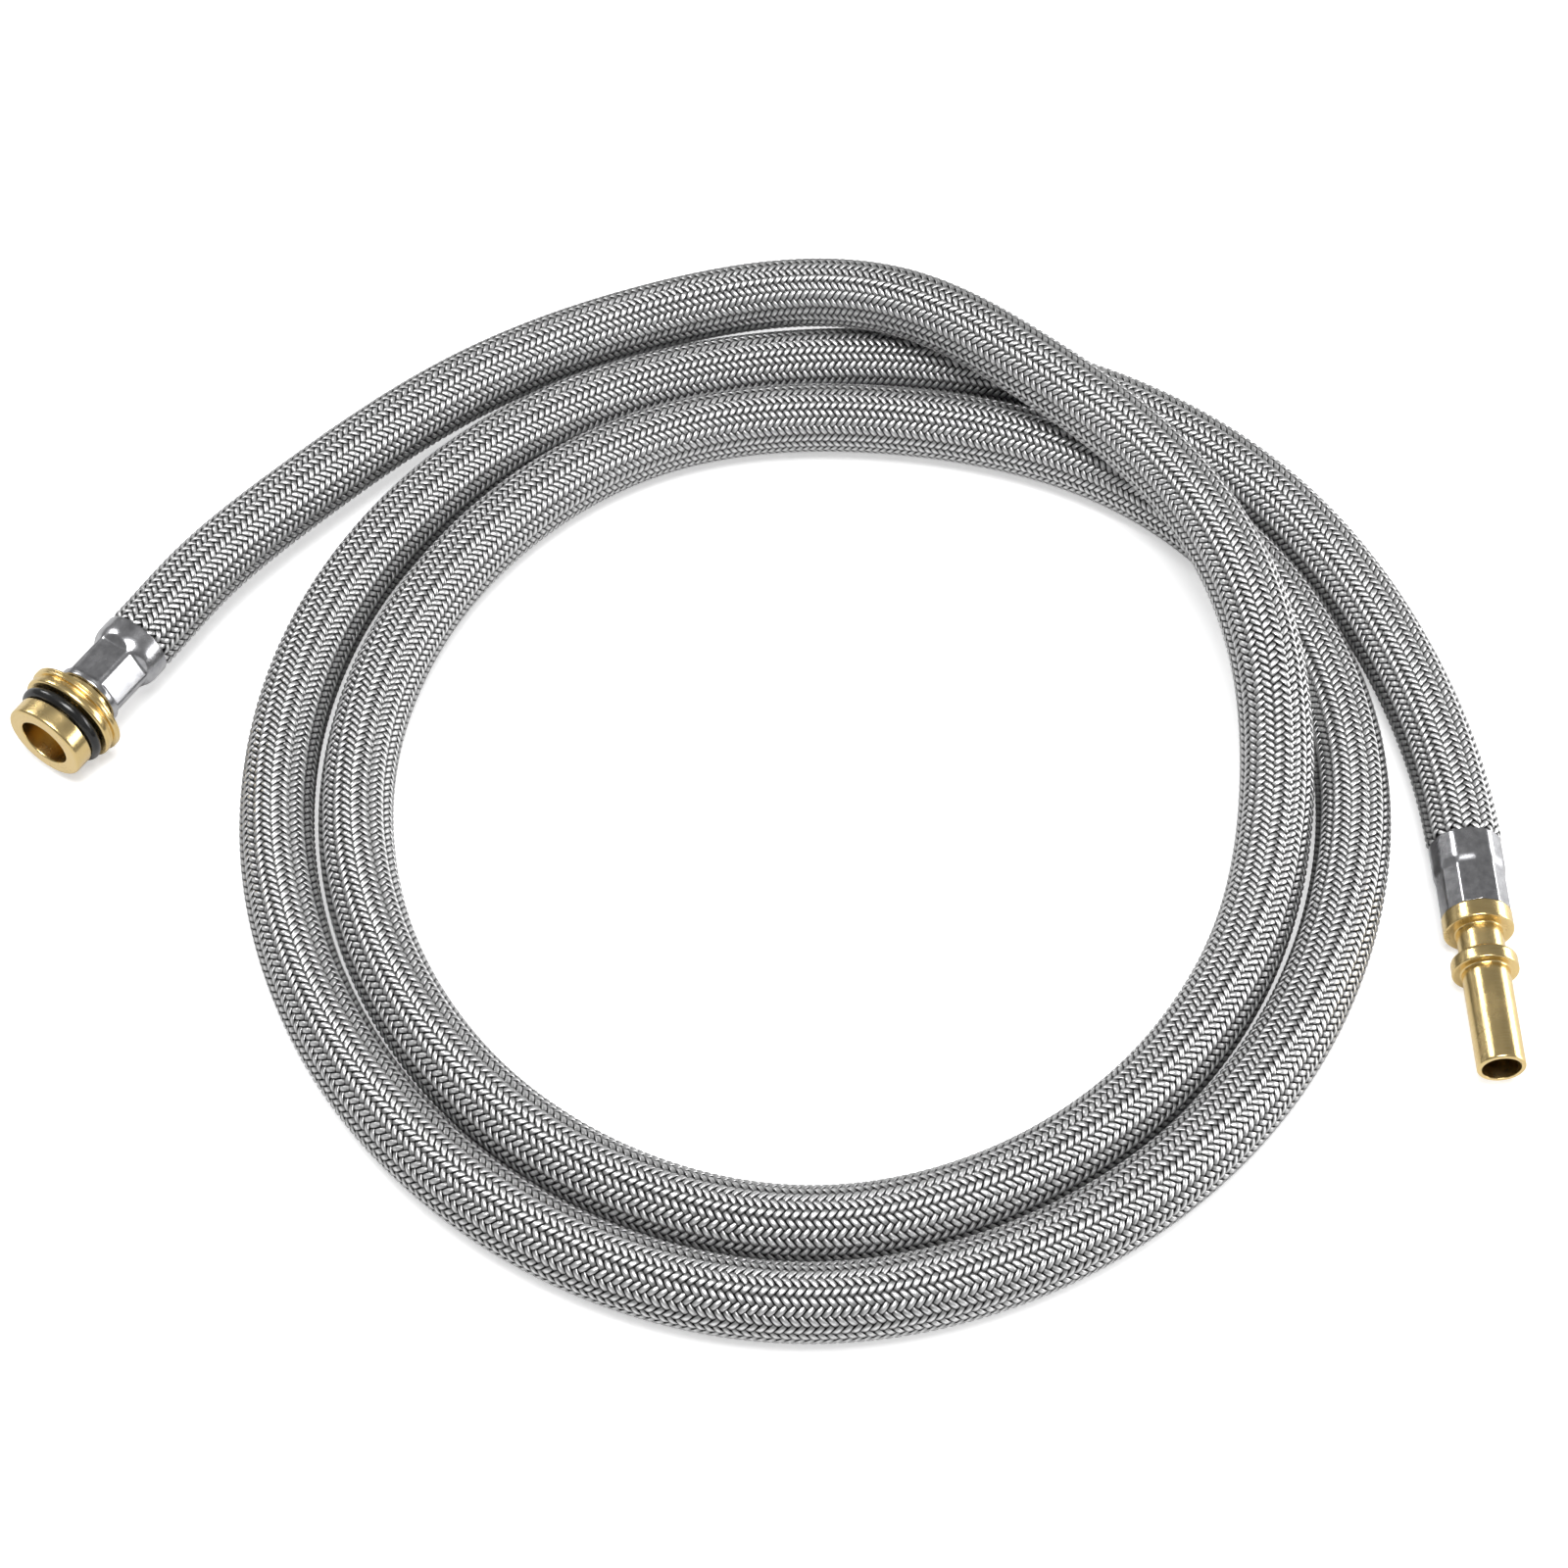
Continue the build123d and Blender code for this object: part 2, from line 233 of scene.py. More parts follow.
def yarns(steps, way, squeeze):
    """Corner points of all yarns wound one way, as an array of steps x yarns x corners x 3.

    With them comes how far each corner's yarn is on top there: 1 at the crest of a float, -1
    where it is deepest under the yarns it crosses.
    """
    distance = steps * yarn_step
    centre, along, above, beside = hose_frames(distance)
    yarn_number = np.arange(carriers)
    place = 2 * yarn_number[None, :] + way * steps[:, None] / steps_per_crossing
    angle = place * crossing_angle
    wave = np.cos(math.tau * (place - 0.5) / crossings_per_wave)
    radius = yarn_middle_radius + way * yarn_wave * wave - squeeze[:, None]
    cosine, sine = np.cos(angle)[..., None], np.sin(angle)[..., None]
    normal = cosine * above[:, None] + sine * beside[:, None]
    round_hose = cosine * beside[:, None] - sine * above[:, None]
    turn_rate = way * crossing_angle / (yarn_pitch / 2)
    heading = unit(along[:, None] + round_hose * (radius * turn_rate)[..., None])
    across = np.cross(normal, heading)
    middle = centre[:, None] + normal * radius[..., None]
    corners = []
    for sideways, outwards in yarn_section:
        lift = normal * (yarn_half_height * outwards)
        corners.append(middle + lift + across * (yarn_half_width * sideways))
    on_top = np.repeat((way * wave)[..., None], yarn_corners, axis=2)
    return np.stack(corners, axis=2), on_top


def braid_piece(name, first_step, last_step):
    """The woven sleeve between two steps along the hose."""
    steps = np.arange(first_step, last_step + 1)
    distance = steps * yarn_step
    into_ferrule = np.maximum(-distance, distance - hose_length)
    squeeze = crimp_depth * np.clip((into_ferrule + crimp_lead) / crimp_lead, 0, 1) ** 2
    both_ways = [yarns(steps, way, squeeze) for way in (1, -1)]
    points = np.concatenate([corners for corners, _ in both_ways], axis=1)
    on_top = np.concatenate([height for _, height in both_ways], axis=1)
    rows, yarn_count = points.shape[:2]
    quads, corner_row, corner_side = wrapped_grid(rows, yarn_corners)
    number = np.arange(yarn_count)[:, None, None]
    corner = corner_side % yarn_corners
    quads = (corner_row[None] * yarn_count + number) * yarn_corners + corner[None]
    across = (number + yarn_map_share * corner_side[None] / yarn_corners) / yarn_count
    down = np.broadcast_to(corner_row[None] / (rows - 1), across.shape)
    bake_uv = np.stack([across, down], axis=-1)
    side_share = np.broadcast_to(corner_side[None] / yarn_corners, across.shape)
    along_yarn = (steps[0] + corner_row[None]) * yarn_step + number * yarn_offset
    own_uv = np.stack([side_share, along_yarn], axis=-1)
    piece = mesh_piece(name, points.reshape(-1, 3), quads.reshape(-1, 4), bake_uv, own_uv)
    on_top_layer = piece.data.attributes.new("on_top", "FLOAT", "POINT")
    on_top_layer.data.foreach_set("value", on_top.astype(np.float32).ravel())
    piece.data.materials.append(yarn_material)
    return piece


liner_sides = 48
liner_row_gap = 1.5


def liner_piece(name, start, end):
    """A length of the rubber liner, outside and bore."""
    rows = max(3, int((end - start) / liner_row_gap))
    distance = np.linspace(start, end, rows)
    outside = np.full(rows, liner_radius)
    bore = np.full(rows, water_bore_radius)
    distance = np.concatenate([distance, distance[::-1], distance[:1]])
    radius = np.concatenate([outside, bore, outside[:1]])
    centre, _, above, beside = hose_frames(distance)
    angle = np.arange(liner_sides) * math.tau / liner_sides
    cosine, sine = np.cos(angle)[None, :, None], np.sin(angle)[None, :, None]
    normal = cosine * above[:, None] + sine * beside[:, None]
    points = centre[:, None] + normal * radius[:, None, None]
    quads, corner_row, corner_column = wrapped_grid(len(distance), liner_sides)
    uv = np.stack([corner_column / liner_sides, corner_row / (len(distance) - 1)], axis=-1)
    piece = mesh_piece(name, points.reshape(-1, 3), quads, uv, uv)
    piece.data.materials.append(liner_material)
    return piece


# ---------------------------------------------------------------- materials
low_noise, middle_noise, high_noise = 0.3, 0.5, 0.7  # places on a ramp that noise really reaches


def node_material(name):
    """A material, its node tree and its Principled shader."""
    material = bpy.data.materials.new(name)
    material.use_nodes = True
    tree = material.node_tree
    shader = tree.nodes["Principled BSDF"]
    return material, tree, shader


def add_node(tree, kind, settings=None, **inputs):
    """A node with its settings, and its inputs set to values or linked to sockets."""
    node = tree.nodes.new(kind)
    for key, value in (settings or {}).items():
        setattr(node, key, value)
    for key, value in inputs.items():
        socket = node.inputs[key.replace("_", " ")]
        if isinstance(value, bpy.types.NodeSocket):
            tree.links.new(value, socket)
        else:
            socket.default_value = value
    return node


def ramp(tree, factor, stops):
    """A colour ramp from (place, colour) stops, driven by factor."""
    node = tree.nodes.new("ShaderNodeValToRGB")
    tree.links.new(factor, node.inputs["Fac"])
    while len(node.color_ramp.elements) < len(stops):
        node.color_ramp.elements.new(0.5)
    for element, (place, colour) in zip(node.color_ramp.elements, stops):
        element.position = place
        element.color = (*colour, 1)
    return node.outputs["Color"]


def grey(value):
    return (value, value, value)


def rough_between(tree, shader, noise, smooth, rough):
    """Roughness that wanders between two values."""
    roughness = ramp(tree, noise, [(low_noise, grey(smooth)), (high_noise, grey(rough))])
    tree.links.new(roughness, shader.inputs["Roughness"])


def coloured_between(tree, shader, noise, dark, light):
    """Base colour that wanders between two colours."""
    colour = ramp(tree, noise, [(low_noise, dark), (high_noise, light)])
    tree.links.new(colour, shader.inputs["Base Color"])


def surface_noise(tree, stretch, scale, detail=3.0):
    """Noise laid out on a piece's own surface, stretched along its two directions."""
    place = add_node(tree, "ShaderNodeUVMap", {"uv_map": "Surface"}).outputs["UV"]
    moved = add_node(tree, "ShaderNodeMapping", Vector=place, Scale=stretch).outputs["Vector"]
    noise = add_node(tree, "ShaderNodeTexNoise", Vector=moved, Scale=scale, Detail=detail)
    return noise.outputs["Fac"]


def body_noise(tree, scale, detail=3.0):
    """Noise that fills space, for slow changes over a whole piece."""
    place = add_node(tree, "ShaderNodeTexCoord").outputs["Object"]
    noise = add_node(tree, "ShaderNodeTexNoise", Vector=place, Scale=scale, Detail=detail)
    return noise.outputs["Fac"]


def multiplied(tree, one, other):
    """The product of two colours."""
    node = add_node(tree, "ShaderNodeVectorMath", {"operation": "MULTIPLY"})
    tree.links.new(one, node.inputs[0])
    tree.links.new(other, node.inputs[1])
    return node.outputs["Vector"]


def bumped(tree, shader, height, strength, distance):
    """Bump of this depth in metres, from a height of 0 to 1."""
    bump = add_node(tree, "ShaderNodeBump", Height=height, Strength=strength, Distance=distance)
    tree.links.new(bump.outputs["Normal"], shader.inputs["Normal"])


def yarn_look():
    """Bright grey yarn: fine filaments run along it, with painted shade on each float."""
    material, tree, shader = node_material("grey_yarn")
    filaments = surface_noise(tree, (9.0, 0.35, 1.0), 2.0)
    bright = ramp(
        tree, filaments, [(low_noise, grey(0.78)), (middle_noise, grey(0.92)), (0.72, grey(1.0))]
    )
    # Painted shade: each float keeps its full colour at the crest of its crown and is painted
    # darker down its flanks, where it dives under its neighbours, and where it is seen edge-on
    surface = add_node(tree, "ShaderNodeUVMap", {"uv_map": "Surface"}).outputs["UV"]
    side_share = add_node(tree, "ShaderNodeSeparateXYZ", Vector=surface).outputs["X"]
    on_top = add_node(tree, "ShaderNodeAttribute", {"attribute_name": "on_top"}).outputs["Fac"]
    edge_on = add_node(tree, "ShaderNodeLayerWeight", Blend=0.5).outputs["Facing"]
    dark, middling, light = grey(0.11), grey(0.62), grey(1.0)
    shoulder = grey(0.8)
    # Painted shade across the yarn: darker towards its sides
    crown = ramp(
        tree,
        side_share,
        [(0.0, dark), (0.15, shoulder), (0.3, light), (0.45, shoulder), (0.6, dark)],
    )
    # Painted shade along the yarn: darker where it dives under the yarns it crosses
    crest = ramp(tree, on_top, [(0.0, dark), (0.4, middling), (0.62, middling), (0.86, light)])
    # Painted shade towards grazing views, standing in for the yarns shading each other
    turned = ramp(tree, edge_on, [(0.4, light), (0.9, grey(0.45))])
    shade = multiplied(tree, multiplied(tree, crown, crest), turned)
    tree.links.new(multiplied(tree, bright, shade), shader.inputs["Base Color"])
    rough_between(tree, shader, body_noise(tree, 60.0), 0.34, 0.40)
    shader.inputs["Metallic"].default_value = 0.9
    bumped(tree, shader, filaments, 0.25, 0.00005)
    return material


def liner_look():
    """Dull black rubber."""
    material, tree, shader = node_material("black_rubber")
    coloured_between(tree, shader, body_noise(tree, 300.0), grey(0.012), grey(0.03))
    rough_between(tree, shader, body_noise(tree, 90.0), 0.6, 0.75)
    bumped(tree, shader, body_noise(tree, 900.0), 0.2, 0.0001)
    return material


def brass_look():
    """Brass with the fine rings that turning leaves."""
    material, tree, shader = node_material("turned_brass")
    turning = surface_noise(tree, (0.6, 9.0, 1.0), 2.0)
    dull, middling, bright = (0.70, 0.51, 0.21), (0.81, 0.61, 0.28), (0.90, 0.73, 0.39)
    stops = [(low_noise, dull), (middle_noise, middling), (high_noise, bright)]
    tree.links.new(ramp(tree, turning, stops), shader.inputs["Base Color"])
    rough_between(tree, shader, body_noise(tree, 250.0), 0.20, 0.30)
    shader.inputs["Metallic"].default_value = 1.0
    bumped(tree, shader, turning, 0.2, 0.00004)
    return material


def steel_look():
    """Drawn and crimped steel, with streaks along the ferrule."""
    material, tree, shader = node_material("crimped_steel")
    drawn = surface_noise(tree, (14.0, 0.35, 1.0), 2.0)
    coloured_between(tree, shader, drawn, (0.38, 0.38, 0.395), (0.54, 0.54, 0.555))
    rough_between(tree, shader, body_noise(tree, 350.0), 0.20, 0.28)
    shader.inputs["Metallic"].default_value = 1.0
    bumped(tree, shader, body_noise(tree, 500.0), 0.12, 0.00004)
    return material


def ring_look():
    """Smooth, slightly glossy black rubber."""
    material, tree, shader = node_material("glossy_rubber")
    coloured_between(tree, shader, body_noise(tree, 400.0), grey(0.008), grey(0.02))
    rough_between(tree, shader, body_noise(tree, 200.0), 0.16, 0.26)
    bumped(tree, shader, surface_noise(tree, (3.0, 0.5, 1.0), 2.0), 0.1, 0.00003)
    return material


yarn_material = yarn_look()
liner_material = liner_look()
brass_material = brass_look()
steel_material = steel_look()
ring_material = ring_look()

# ---------------------------------------------------------------- hose pieces
tucked_in = 4.0  # length of sleeve and liner hidden in each ferrule


def step_at(distance):
    """The number of the yarn step nearest to a distance along the hose."""
    return round(distance / yarn_step)


def bending_pieces(side, from_mouth):
    """The leads of one side: a piece across each knuckle and one that runs into the ferrule."""
    names = ["coil"] + [f"{side}_lead_{number}" for number in (1, 2, 3)] + [f"{side}_end"]
    for inner, outer, knuckle in zip(names, names[1:], reversed(knuckle_distances)):
        near, far = from_mouth(knuckle + knuckle_span), from_mouth(knuckle - knuckle_span)
        low, high = sorted((near, far))
        braid = braid_piece(f"{outer}_yarns", step_at(low), step_at(high))
        liner = liner_piece(f"{outer}_tube", low, high)
        for piece, layer in ((braid, "braid"), (liner, "liner")):
            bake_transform(piece)
            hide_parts(f"{outer}_{layer}")
    low, high = sorted((from_mouth(-tucked_in), from_mouth(knuckle_distances[0] - knuckle_span)))
    braid = braid_piece(f"{side}_crimped_yarns", step_at(low), step_at(high))
    liner = liner_piece(f"{side}_crimped_tube", low, high)
    for piece, layer in ((braid, "braid"), (liner, "liner")):
        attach(piece, f"{side}_end")
        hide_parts(f"{side}_end_{layer}")


def from_spray(distance):
    return distance


def from_plug(distance):
    return hose_length - distance


bending_pieces("spray", from_spray)
bending_pieces("plug", from_plug)

coil_start = step_at(from_spray(knuckle_distances[-1] + knuckle_span))
coil_end = step_at(from_plug(knuckle_distances[-1] + knuckle_span))
coil_piece_count = math.ceil((coil_end - coil_start) * yarn_step / braid_piece_length)
breaks = np.linspace(coil_start, coil_end, coil_piece_count + 1).astype(int)
for number, (first, last) in enumerate(zip(breaks, breaks[1:]), start=1):
    piece = braid_piece(f"coil_yarns_{number}", first, last)
    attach(piece, "coil")
    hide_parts("coil_braid")
coil_tube = liner_piece("coil_tube", coil_start * yarn_step, coil_end * yarn_step)
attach(coil_tube, "coil")
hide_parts("coil_liner")


# ---------------------------------------------------------------- turned fittings
class Fitting:
    """Axis of an end fitting: a point at distance 0, the way out of the hose, up and side."""

    def __init__(self, mouth, out):
        self.mouth = mouth
        self.out = out
        self.above = unit(up - out * (out @ up))
        self.beside = np.cross(out, self.above)

    def place(self, radius, distance, angle):
        """Points from arrays of radius, distance along the axis and angle from up."""
        round_axis = np.cos(angle)[..., None] * self.above + np.sin(angle)[..., None] * self.beside
        return self.mouth + self.out * distance[..., None] + round_axis * radius[..., None]


spray = Fitting(spray_mouth, spray_out)
plug = Fitting(plug_mouth, plug_out)
around = 144  # points round a turned piece
widest_gap = 0.35  # between neighbouring points of a turned profile
usual_rounding = 0.12
rounding_points = 6


def rounded(outline):
    """A closed outline of (radius, distance, corner rounding) as finely spaced points."""
    points = [np.array(corner[:2], float) for corner in outline]
    result = []
    count = len(points)
    for i, corner in enumerate(points):
        to_last = points[i - 1] - corner
        to_next = points[(i + 1) % count] - corner
        rounding = outline[i][2] if len(outline[i]) > 2 else usual_rounding
        reach = min(rounding, np.linalg.norm(to_last) / 2.2, np.linalg.norm(to_next) / 2.2)
        start = corner + unit(to_last) * reach
        end = corner + unit(to_next) * reach
        for share in np.linspace(0, 1, rounding_points):
            left = 1 - share
            result.append(left**2 * start + 2 * share * left * corner + share**2 * end)
    fine = []
    for start, end in zip(result, result[1:] + result[:1]):
        parts = max(1, math.ceil(np.linalg.norm(end - start) / widest_gap))
        fine += [start + (end - start) * k / parts for k in range(parts)]
    return np.array(fine + fine[:1])


def lathe(name, fitting, profile, shape=None):
    """A piece turned about a fitting's axis; shape may change the radius with angle."""
    angle = np.arange(around) * math.tau / around
    radius = np.repeat(profile[:, :1], around, axis=1)
    distance = np.repeat(profile[:, 1:], around, axis=1)
    if shape:
        radius = shape(radius, distance, angle[None, :])
    points = fitting.place(radius, distance, np.broadcast_to(angle, radius.shape))
    quads, corner_row, corner_column = wrapped_grid(len(profile), around)
    gaps = np.linalg.norm(np.diff(profile, axis=0), axis=1)
    travelled = np.concatenate([[0], np.cumsum(gaps)])
    bake_uv = np.stack([corner_column / around, corner_row / (len(profile) - 1)], axis=-1)
    own_uv = np.stack([corner_column / around, travelled[corner_row]], axis=-1)
    return mesh_piece(name, points.reshape(-1, 3), quads, bake_uv, own_uv)


def finish_fitting(piece, material, body, node):
    """Gives a fitting its material and its body, and hides the CAD node that it stands for."""
    piece.data.materials.append(material)
    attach(piece, body)
    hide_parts(node)


clearance = 0.05
stem_start = 0.6
stem_bore_radius = 2.6
stem_root_radius = 3.15
barb_radius = 3.46
barb_pitch = 2.4
barb_count = 4
barb_rounding = 0.02


def barbed_stem():
    """Outline of the stem inside the liner, from its bore outwards."""
    points = [(stem_bore_radius, stem_start), (stem_root_radius, stem_start)]
    for number in range(barb_count):
        crest = stem_start + (number + 1) * barb_pitch
        points += [
            (barb_radius, crest, barb_rounding),
            (stem_root_radius, crest, barb_rounding),
        ]
    return points


# Both fittings: where the hose ends inside the ferrule, and the lip the ferrule grips there
lip_length = 1.2
lip_radius = 3.8
lip_neck_radius = 3.7

# Spray connector: hub, two-beaded flange, O-ring groove and nose
spray_ferrule_length = 14.0
spray_lip_start = spray_ferrule_length - lip_length
hub_radius = 5.4
hub_length = 2.2
hub_start = spray_ferrule_length + clearance
flange_start = hub_start + hub_length
bead_length = 1.1
recess_length = 0.95
groove_length = 2.7
nose_length = 3.5
recess_start = flange_start + bead_length
recess_end = recess_start + recess_length
flange_end = recess_end + bead_length
groove_end = flange_end + groove_length
nose_end = groove_end + nose_length
flange_radius = 9.1
flange_front_radius = 8.8
flange_recess_radius = 8.4
groove_radius = 6.0
nose_radius = 7.5
nose_bore_radius = 4.7
nose_bore_depth = 8.0
line_depth = 0.12
line_half_width = 0.12
line_rounding = 0.04


def turned_line(radius, middle):
    """A fine line turned into a rim of this radius."""
    return [
        (radius, middle - line_half_width, line_rounding),
        (radius - line_depth, middle, line_rounding),
        (radius, middle + line_half_width, line_rounding),
    ]


connector_outline = [
    *barbed_stem(),
    (stem_root_radius, spray_lip_start - clearance),
    (lip_neck_radius, spray_lip_start - clearance),
    (lip_neck_radius, hub_start),
    (hub_radius, hub_start, 0.2),
    (hub_radius, flange_start, 0.2),
    (flange_radius, flange_start, 0.45),
    *turned_line(flange_radius, flange_start + 0.5),
    (flange_radius, recess_start, 0.4),
    (flange_recess_radius, recess_start + 0.2, 0.3),
    *turned_line(flange_recess_radius, (recess_start + recess_end) / 2),
    (flange_recess_radius, recess_end - 0.1, 0.2),
    (flange_front_radius, recess_end, 0.3),
    (flange_front_radius, flange_end, 0.55),
    (groove_radius, flange_end, 0.15),
    (groove_radius, groove_end, 0.15),
    (nose_radius, groove_end, 0.25),
    (nose_radius, nose_end, 0.6),
    (nose_bore_radius, nose_end, 0.35),
    (nose_bore_radius, nose_end - nose_bore_depth, 0.2),
    (stem_bore_radius, nose_end - nose_bore_depth - hub_length, 0.2),
]
connector = lathe("spray_brass_connector", spray, rounded(connector_outline))
finish_fitting(connector, brass_material, "spray_end", "spray_connector")

cord_radius = 1.1
cord_angle = np.linspace(0, math.tau, 33)
ring_profile = np.stack(
    [
        groove_radius + cord_radius + clearance / 2 + cord_radius * np.cos(cord_angle),
        (flange_end + groove_end) / 2 + cord_radius * np.sin(cord_angle),
    ],
    axis=1,
)
ring = lathe("spray_rubber_ring", spray, ring_profile)
finish_fitting(ring, ring_material, "spray_end", "spray_o_ring")

# Plug spigot: collar, waist, stop collar and plain spigot
plug_ferrule_length = 14.1
plug_lip_start = plug_ferrule_length - lip_length
collar_length = 3.1
waist_length = 5.2
stop_collar_length = 2.6
spigot_length = 18.1
collar_radius = 5.85
waist_radius = 3.9
stop_collar_radius = 5.55
spigot_radius = 4.0
spigot_bore_radius = 3.2
collar_start = plug_ferrule_length + clearance
collar_end = collar_start + collar_length
waist_end = collar_end + waist_length
stop_end = waist_end + stop_collar_length
spigot_end = stop_end + spigot_length
spigot_outline = [
    *barbed_stem(),
    (stem_root_radius, plug_lip_start - clearance),
    (lip_neck_radius, plug_lip_start - clearance),
    (lip_neck_radius, collar_start),
    (collar_radius, collar_start, 0.15),
    (collar_radius, collar_end, 0.3),
    (waist_radius, collar_end, 0.25),
    (waist_radius, waist_end, 0.25),
    (stop_collar_radius, waist_end, 0.9),
    (stop_collar_radius, stop_end, 0.25),
    (spigot_radius, stop_end, 0.3),
    (spigot_radius, spigot_end, 0.35),
    (spigot_bore_radius, spigot_end, 0.12),
    (spigot_bore_radius, collar_end, 0.12),
    (stem_bore_radius, collar_start, 0.12),
]
spigot = lathe("plug_brass_spigot", plug, rounded(spigot_outline))
finish_fitting(spigot, brass_material, "plug_end", "plug_spigot")


# ---------------------------------------------------------------- crimped ferrules
def polygon_radius(apothem, sides, angle, turned_by=0.0):
    """Distance from the axis to a regular polygon's flats, the first of which faces turned_by."""
    face = math.tau / sides
    off_face = (angle - turned_by + face / 2) % face - face / 2
    return apothem / np.cos(off_face)


def soft_least(a, b, softness):
    """The smaller of a and b, with a rounded change-over."""
    mix = np.clip(0.5 + 0.5 * (b - a) / softness, 0, 1)
    return b * (1 - mix) + a * mix - softness * mix * (1 - mix)


def eased(value, low, high):
    """0 below low, 1 above high, and a smooth climb between them."""
    share = np.clip((value - low) / (high - low), 0, 1)
    return share**2 * (3 - 2 * share)


# Along each ferrule from its mouth: round sleeve, shoulder, pressed neck and, on the spray's, a rim
ferrule_wall = 0.45
spray_sleeve_radius = 6.4
spray_sleeve_length = 3.2
spray_neck_first = 4.9
spray_neck_last = 13.0
spray_neck_radius = 5.95
spray_neck_apothem = 5.35
spray_flats = 6
spray_flat_rise = 1.6  # how far the flats stand off where the neck isn't pressed
spray_edge_softness = 0.12
plug_sleeve_radius = 6.15
plug_sleeve_length = 5.2
plug_neck_first = 6.4
plug_neck_radius = 5.95
plug_neck_apothem = 5.75
plug_facets = 12
plug_facet_rise = plug_sleeve_radius - plug_neck_apothem - 0.1  # leaves faint facets on the sleeve
plug_edge_softness = 0.05


def hex_pressed(radius, distance, angle):
    """Six flats pressed into the outside of the spray ferrule's neck."""
    pressed = eased(distance, spray_sleeve_length - 0.2, spray_neck_first + 0.2)
    pressed = pressed * (1 - eased(distance, spray_neck_last - 0.3, spray_neck_last + 0.4))
    flats = polygon_radius(spray_neck_apothem, spray_flats, angle)
    flats = flats + spray_flat_rise * (1 - pressed)
    outside = radius > spray_neck_apothem - ferrule_wall / 2
    return np.where(outside, soft_least(radius, flats, spray_edge_softness), radius)


def facet_pressed(radius, distance, angle):
    """Twelve facets pressed into the plug ferrule."""
    pressed = eased(distance, plug_sleeve_length - 0.3, plug_neck_first + 0.2)
    half_facet = math.tau / plug_facets / 2
    flats = polygon_radius(plug_neck_apothem, plug_facets, angle, half_facet)
    flats = flats + plug_facet_rise * (1 - pressed)
    outside = radius > plug_neck_apothem - ferrule_wall / 2
    return np.where(outside, soft_least(radius, flats, plug_edge_softness), radius)


spray_ferrule_outline = [
    (spray_sleeve_radius - ferrule_wall, clearance, 0.1),
    (spray_sleeve_radius, clearance, 0.2),
    (spray_sleeve_radius, spray_sleeve_length, 0.6),
    (spray_neck_radius, spray_neck_first, 0.6),
    (spray_neck_radius, spray_neck_last, 0.3),
    (spray_neck_radius - 0.05, spray_ferrule_length, 0.25),
    (lip_radius, spray_ferrule_length, 0.1),
    (lip_radius, spray_lip_start, 0.1),
    (spray_neck_apothem - ferrule_wall, spray_lip_start, 0.1),
    (spray_neck_apothem - ferrule_wall, spray_neck_first, 0.1),
    (spray_sleeve_radius - ferrule_wall, spray_sleeve_length, 0.1),
]
spray_ferrule = lathe("spray_steel_ferrule", spray, rounded(spray_ferrule_outline), hex_pressed)
finish_fitting(spray_ferrule, steel_material, "spray_end", "spray_ferrule")

plug_ferrule_outline = [
    (plug_sleeve_radius - ferrule_wall, clearance, 0.1),
    (plug_sleeve_radius, clearance, 0.2),
    (plug_sleeve_radius, plug_sleeve_length, 0.4),
    (plug_neck_radius, plug_neck_first, 0.4),
    (plug_neck_radius, plug_ferrule_length, 0.2),
    (lip_radius, plug_ferrule_length, 0.1),
    (lip_radius, plug_lip_start, 0.1),
    (plug_neck_apothem - ferrule_wall, plug_lip_start, 0.1),
    (plug_neck_apothem - ferrule_wall, plug_neck_first, 0.1),
    (plug_sleeve_radius - ferrule_wall, plug_sleeve_length, 0.1),
]
plug_ferrule = lathe("plug_steel_ferrule", plug, rounded(plug_ferrule_outline), facet_pressed)
finish_fitting(plug_ferrule, steel_material, "plug_end", "plug_ferrule")

# ---------------------------------------------------------------- floor, light and camera
view_target = np.array([5.93, -0.27, 0.0]) * MM
camera_elevation = math.radians(55)
camera_distance = 580.84 * MM
camera_lens = 77.0
camera_sensor_width = 36.0

# The floor, in metres
floor_half_side = 3.0
floor_drop = 0.0002  # just under the hose, so that the two surfaces don't flicker
floor_greys = (0.86, 0.88)
floor_bounce = 0.7  # how light it is to rays that don't come from the camera
floor_glow_strength = 0.5  # softens the shadows that the camera sees

surroundings_light = 0.26  # how brightly the surroundings light the hose
surroundings_seen = 0.62  # how bright they look past the floor's edge


def aimed(thing, place, target):
    """Puts a lamp or the camera at place, looking at target."""
    thing.location = place
    thing.rotation_euler = (Vector(target) - Vector(place)).to_track_quat("-Z", "Y").to_euler()


floor_mesh = bpy.data.meshes.new("floor")
floor_corners = [
    (x * floor_half_side, y * floor_half_side, 0) for x, y in ((-1, -1), (1, -1), (1, 1), (-1, 1))
]
floor_mesh.from_pydata(floor_corners, [], [(0, 1, 2, 3)])
floor = bpy.data.objects.new("floor", floor_mesh)
bpy.context.scene.collection.objects.link(floor)
floor.location.z = -floor_drop
floor_material, floor_tree, floor_shader = node_material("pale_floor")
floor_stops = [(low_noise, grey(floor_greys[0])), (high_noise, grey(floor_greys[1]))]
floor_colour = ramp(floor_tree, body_noise(floor_tree, 3.0), floor_stops)
light_path = add_node(floor_tree, "ShaderNodeLightPath")
seen_colour = add_node(
    floor_tree,
    "ShaderNodeMixRGB",
    Fac=light_path.outputs["Is Camera Ray"],
    Color1=(*grey(floor_bounce), 1),
    Color2=floor_colour,
)
floor_tree.links.new(seen_colour.outputs["Color"], floor_shader.inputs["Base Color"])
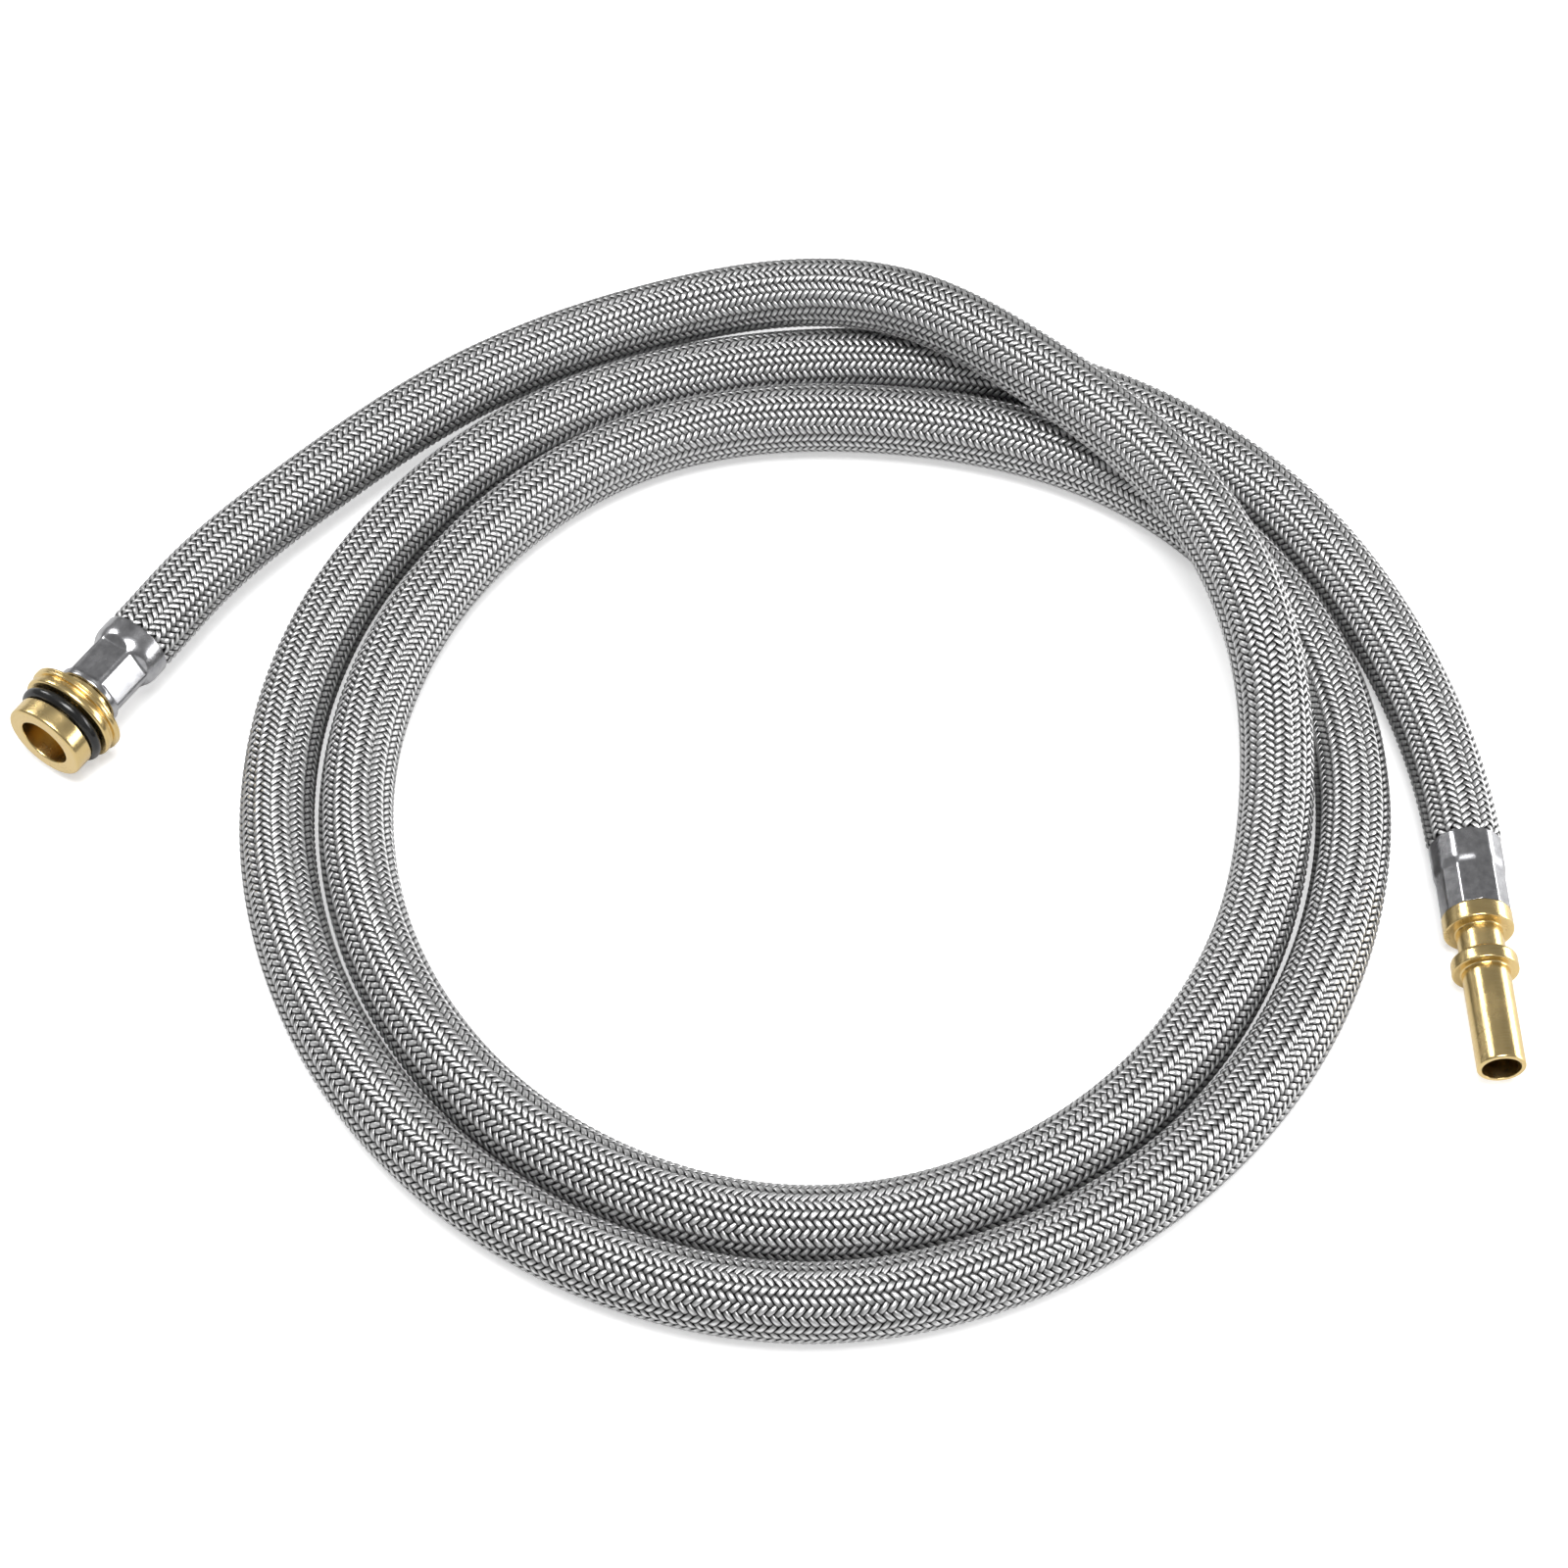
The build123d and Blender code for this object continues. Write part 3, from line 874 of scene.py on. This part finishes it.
floor_glow = add_node(floor_tree, "ShaderNodeMath", {"operation": "MULTIPLY"})
floor_tree.links.new(light_path.outputs["Is Camera Ray"], floor_glow.inputs[0])
floor_glow.inputs[1].default_value = floor_glow_strength
floor_shader.inputs["Emission Color"].default_value = (1, 1, 1, 1)
floor_tree.links.new(floor_glow.outputs["Value"], floor_shader.inputs["Emission Strength"])
floor_shader.inputs["Roughness"].default_value = 0.9
floor_mesh.materials.append(floor_material)


def soft_light(name, place, size, power):
    """A rectangular lamp aimed at the hose: place and size in metres, power in watts."""
    data = bpy.data.lights.new(name, "AREA")
    data.shape = "RECTANGLE"
    data.size, data.size_y = size
    data.energy = power
    lamp = bpy.data.objects.new(name, data)
    bpy.context.scene.collection.objects.link(lamp)
    aimed(lamp, place, view_target)


soft_light("overhead", (0.05, -0.25, 1.15), (0.6, 0.45), 13)
soft_light("left_strip", (-0.75, 0.62, 0.68), (0.14, 0.36), 3)
soft_light("right_card", (0.9, 0.1, 0.15), (0.9, 0.3), 6)

world = bpy.data.worlds.new("studio")
world.use_nodes = True
world_tree = world.node_tree
world_ray = add_node(world_tree, "ShaderNodeLightPath").outputs["Is Camera Ray"]
world_strength = add_node(world_tree, "ShaderNodeMath", {"operation": "MULTIPLY_ADD"})
world_tree.links.new(world_ray, world_strength.inputs[0])
world_strength.inputs[1].default_value = surroundings_seen - surroundings_light
world_strength.inputs[2].default_value = surroundings_light
background = world_tree.nodes["Background"]
background.inputs["Color"].default_value = (1, 1, 1, 1)
world_tree.links.new(world_strength.outputs["Value"], background.inputs["Strength"])
bpy.context.scene.world = world

camera_data = bpy.data.cameras.new("camera")
camera_data.lens = camera_lens
camera_data.sensor_width = camera_sensor_width
camera = bpy.data.objects.new("camera", camera_data)
bpy.context.scene.collection.objects.link(camera)
back = np.array([0, -math.cos(camera_elevation), math.sin(camera_elevation)])
aimed(camera, view_target + back * camera_distance, view_target)
bpy.context.scene.camera = camera

bpy.context.scene.view_settings.view_transform = "Standard"
